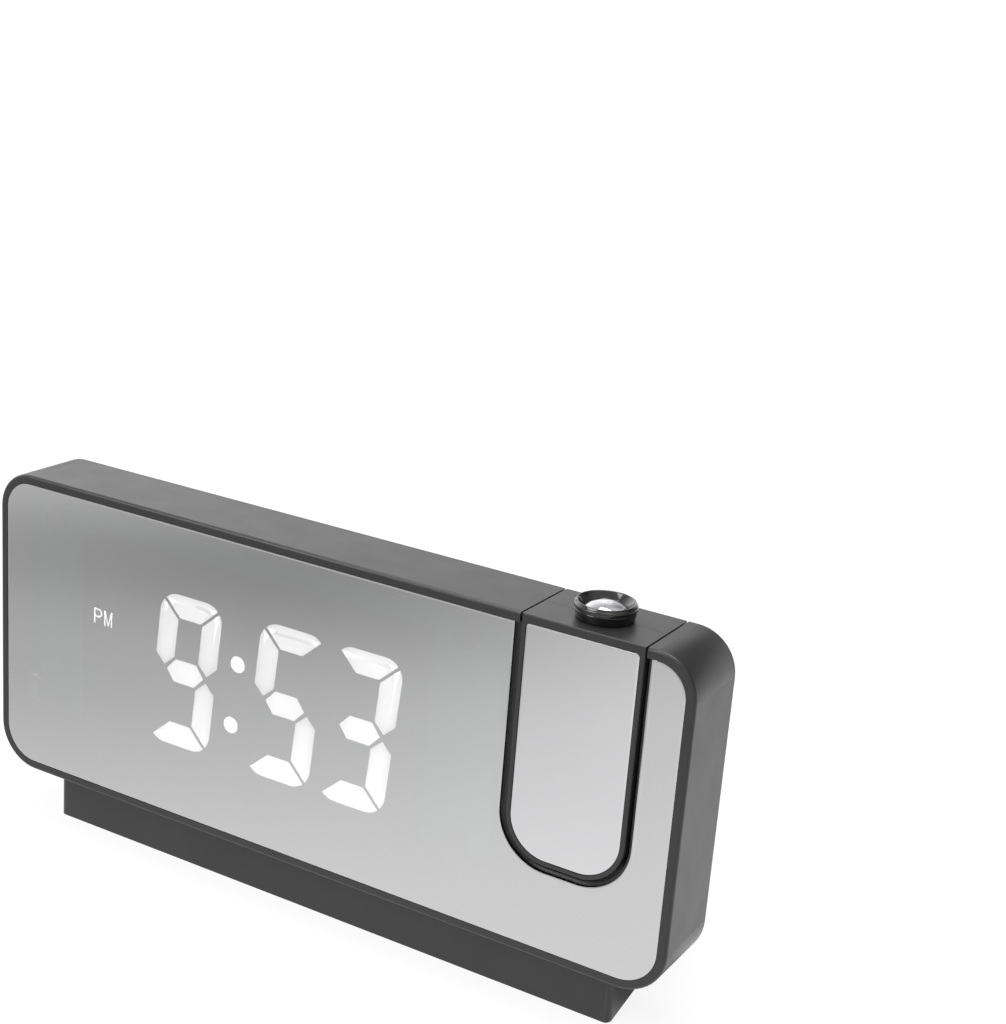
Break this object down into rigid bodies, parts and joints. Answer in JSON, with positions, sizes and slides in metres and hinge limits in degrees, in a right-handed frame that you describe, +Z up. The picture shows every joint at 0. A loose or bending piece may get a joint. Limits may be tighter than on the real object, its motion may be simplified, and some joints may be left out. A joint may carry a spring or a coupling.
{
  "type": "projection alarm clock",
  "caption": "Leaning slab alarm clock with a mirror front, lit digits, a swivelling projector arm, rear keys, speaker grille and a low wedge foot.",
  "frame": {"origin": "on the floor, under the middle of the foot and plinth", "axes": "+Z up, +X to the right as seen from the front, the mirror front looks towards -Y and leans back"},
  "size_m": [0.1886, 0.0398, 0.0938],
  "materials": {
    "body_black": "satin moulded",
    "mirror_grey": "half-silvered sheet",
    "key_black": "satin",
    "ring_black": "gloss",
    "light_white": "milky, lit",
    "frame_black": "matte",
    "board_green": "coated board",
    "chip_yellow": "gloss",
    "steel": "plain",
    "label_white": "printed matte",
    "foam_grey": "foam",
    "cone_grey": "pressed",
    "magnet_grey": "plain",
    "brass": "plain",
    "holder_black": "matte",
    "cable_black": "satin",
    "glass": "clear",
    "cell_steel": "polished"
  },
  "bodies": {
    "clock_body": {"housing": "body_black", "mirror_panel": "mirror_grey", "rear_cover": "body_black", "cover_screws": "steel", "stand_foot": "body_black", "foot_screws": "steel", "round_label": "label_white", "display_frame": "frame_black", "digit_lights": "light_white", "colon_lights": "light_white", "afternoon_sign": "light_white", "display_board": "board_green", "display_board_screws": "steel", "light_chips": "chip_yellow", "power_socket_shell": "steel", "power_socket_tongue": "holder_black", "key_board": "board_green", "key_board_screws": "steel", "push_switches": "holder_black", "speaker_gasket": "foam_grey", "speaker_frame": "steel", "speaker_magnet": "magnet_grey", "speaker_cone": "cone_grey", "battery_holder": "holder_black", "battery_contact_minus": "brass", "battery_contact_plus": "brass", "coin_cell": "cell_steel", "pivot_sleeve": "brass", "arm_cable": "cable_black"},
    "projector_arm": {"arm_front_shell": "body_black", "arm_rear_shell": "body_black", "arm_mirror": "mirror_grey", "pivot_pin": "steel", "pivot_washer": "steel", "pivot_clip": "steel", "projector_tube": "frame_black", "image_slide": "glass", "condenser_lens": "glass", "projector_board": "board_green", "projector_led": "chip_yellow"},
    "focus_ring_body": {"focus_ring": "ring_black"},
    "lens_body": {"lens_barrel": "ring_black", "projection_lens": "glass"},
    "pad_body": {"long_pad": "key_black"},
    "battery_cover_body": {"battery_cover": "body_black"},
    "key_1_body": {"key_1": "key_black"},
    "key_2_body": {"key_2": "key_black"},
    "key_3_body": {"key_3": "key_black"},
    "key_4_body": {"key_4": "key_black"}
  },
  "joints": [
    {"name": "arm_turn", "type": "hinge", "parent": "clock_body", "child": "projector_arm", "pos_m": [0.0678, -0.00228, 0.05577], "axis": [1, 0, 0], "range_deg": [-90, 90]},
    {"name": "focus_turn", "type": "hinge", "parent": "projector_arm", "child": "focus_ring_body", "pos_m": [0.0678, 0.00498, 0.08878], "axis": [0, 0.2147, 0.9767], "range_deg": [-150, 150]},
    {"name": "lens_slide", "type": "slide", "parent": "projector_arm", "child": "lens_body", "axis": [0, 0.2147, 0.9767], "range_m": [-0.0008, 0.0008]},
    {"name": "pad_rock", "type": "hinge", "parent": "clock_body", "child": "pad_body", "pos_m": [0, 0.0058, 0.07437], "axis": [0, 0.2147, 0.9767], "range_deg": [-1.5, 1.5], "stiffness_Nm_per_rad": 0.6},
    {"name": "battery_cover_turn", "type": "hinge", "parent": "clock_body", "child": "battery_cover_body", "pos_m": [-0.07585, 0.00664, 0.05069], "axis": [0, 0.9767, -0.2147], "range_deg": [0, 40]},
    {"name": "key_1_press", "type": "slide", "parent": "clock_body", "child": "key_1_body", "axis": [0, -0.9767, 0.2147], "range_m": [0, 0.0005], "stiffness_N_per_m": 2500},
    {"name": "key_2_press", "type": "slide", "parent": "clock_body", "child": "key_2_body", "axis": [0, -0.9767, 0.2147], "range_m": [0, 0.0005], "stiffness_N_per_m": 2500},
    {"name": "key_3_press", "type": "slide", "parent": "clock_body", "child": "key_3_body", "axis": [0, -0.9767, 0.2147], "range_m": [0, 0.0005], "stiffness_N_per_m": 2500},
    {"name": "key_4_press", "type": "slide", "parent": "clock_body", "child": "key_4_body", "axis": [0, -0.9767, 0.2147], "range_m": [0, 0.0005], "stiffness_N_per_m": 2500}
  ],
  "couplings": [
    {"joint": "focus_turn", "follows": "lens_slide", "rad_per_m": 3272}
  ]
}
